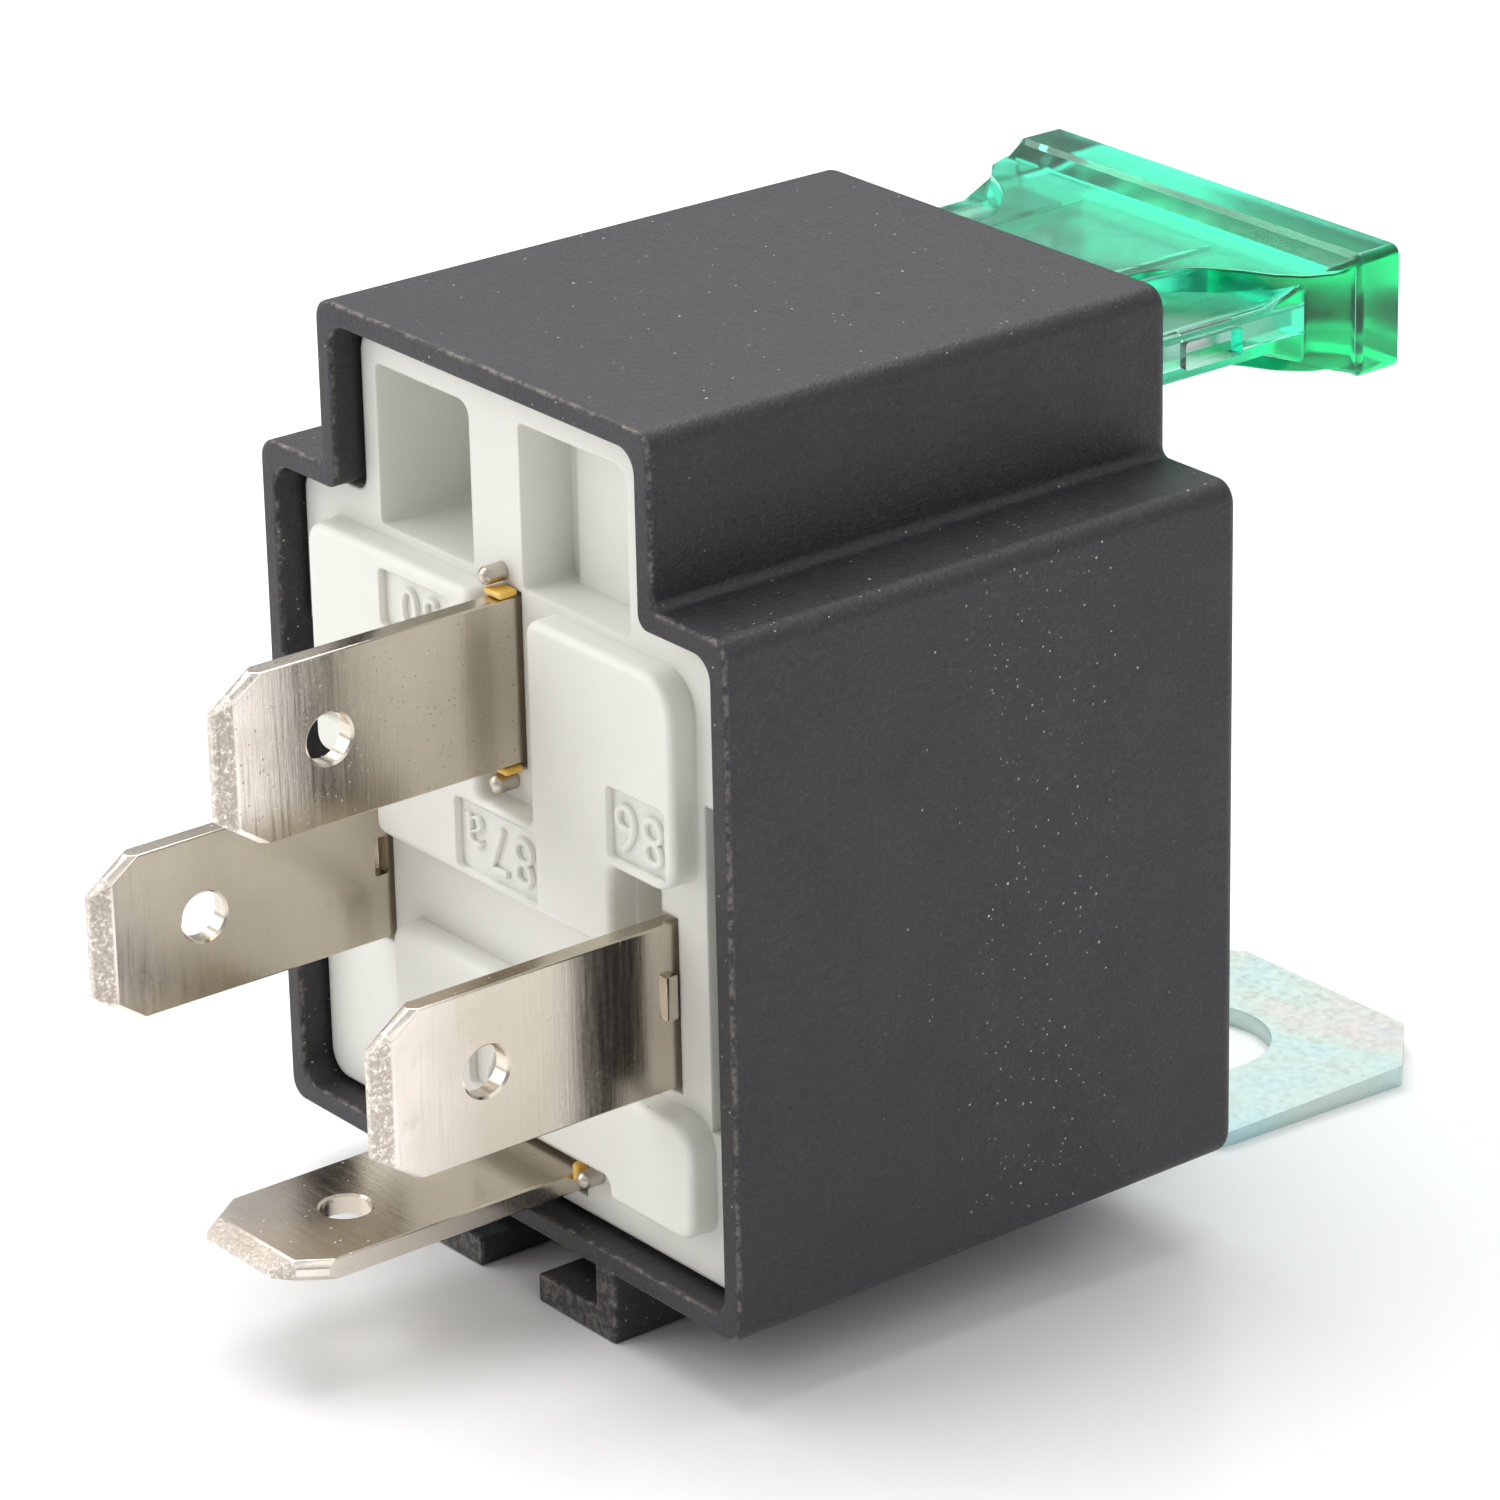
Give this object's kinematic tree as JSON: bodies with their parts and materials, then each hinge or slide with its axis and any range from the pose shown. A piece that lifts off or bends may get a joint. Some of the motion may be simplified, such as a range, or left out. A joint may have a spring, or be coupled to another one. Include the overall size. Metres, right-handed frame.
{
  "type": "plug in relay",
  "caption": "Cube relay with flat blade terminals, a stepped black cover, a plugged in blade fuse and a slide-on steel mounting bracket.",
  "frame": {"origin": "centre of the bounding box in X and Y, at the underside of the mounting bracket's plate", "axes": "+X across the relay, +Y from the blade terminals to the fuse and the bracket's hole, +Z away from the bracket side"},
  "size_m": [0.027, 0.0517, 0.0364],
  "materials": {
    "armature": "plated soft iron",
    "armature_rivet_a": "steel",
    "armature_rivet_b": "steel",
    "base": "off white moulded plastic",
    "bobbin": "black moulded plastic",
    "coil_lead_85": "copper wire",
    "coil_lead_86": "copper wire",
    "coil_winding": "enamelled copper wire",
    "contact_spring": "copper alloy strip",
    "cover": "black moulded plastic, fine grain",
    "fixed_contact": "silver alloy",
    "fuse_body": "clear green moulded plastic",
    "fuse_clip_line": "tinned brass strip",
    "fuse_clip_load": "tinned brass strip",
    "fuse_element": "zinc alloy strip",
    "iron_core": "plated soft iron",
    "mounting_bracket": "zinc plated steel, pale rainbow passivation",
    "moving_contact": "silver alloy",
    "pin_30_low": "tinned pin end",
    "pin_30_top": "tinned pin end",
    "pin_87": "tinned pin end",
    "rest_stop": "steel strip",
    "sealant_30_low": "amber resin",
    "sealant_30_top": "amber resin",
    "sealant_87": "amber resin",
    "spring_rivet_a": "steel",
    "spring_rivet_b": "steel",
    "terminal_30": "tin plated brass blade",
    "terminal_85": "tin plated brass blade",
    "terminal_86": "tin plated brass blade",
    "terminal_87": "tin plated brass blade",
    "yoke": "plated soft iron"
  },
  "bodies": {
    "relay": {"base": "base", "bobbin": "bobbin", "coil_lead_85": "coil_lead_85", "coil_lead_86": "coil_lead_86", "coil_winding": "coil_winding", "cover": "cover", "fixed_contact": "fixed_contact", "fuse_clip_line": "fuse_clip_line", "fuse_clip_load": "fuse_clip_load", "iron_core": "iron_core", "pin_30_low": "pin_30_low", "pin_30_top": "pin_30_top", "pin_87": "pin_87", "rest_stop": "rest_stop", "sealant_30_low": "sealant_30_low", "sealant_30_top": "sealant_30_top", "sealant_87": "sealant_87", "spring_rivet_a": "spring_rivet_a", "spring_rivet_b": "spring_rivet_b", "terminal_30": "terminal_30", "terminal_85": "terminal_85", "terminal_86": "terminal_86", "terminal_87": "terminal_87", "yoke": "yoke"},
    "armature_set": {"armature": "armature", "contact_spring": "contact_spring", "moving_contact": "moving_contact", "armature_rivet_a": "armature_rivet_a", "armature_rivet_b": "armature_rivet_b"},
    "fuse": {"fuse_body": "fuse_body", "fuse_element": "fuse_element"},
    "bracket": {"mounting_bracket": "mounting_bracket"}
  },
  "joints": [
    {"name": "fuse_slide", "type": "slide", "parent": "relay", "child": "fuse", "axis": [0, 1, 0], "range_m": [0, 0.016]},
    {"name": "armature_hinge", "type": "hinge", "parent": "relay", "child": "armature_set", "pos_m": [0, 0.0047, 0.0209], "axis": [-1, 0, 0], "range_deg": [0, 2.6], "stiffness_Nm_per_rad": 0.02, "springref_deg": -2.86, "deforming": ["contact_spring"]},
    {"name": "bracket_slide", "type": "slide", "parent": "relay", "child": "bracket", "axis": [0, 1, 0], "range_m": [0, 0.024]}
  ]
}
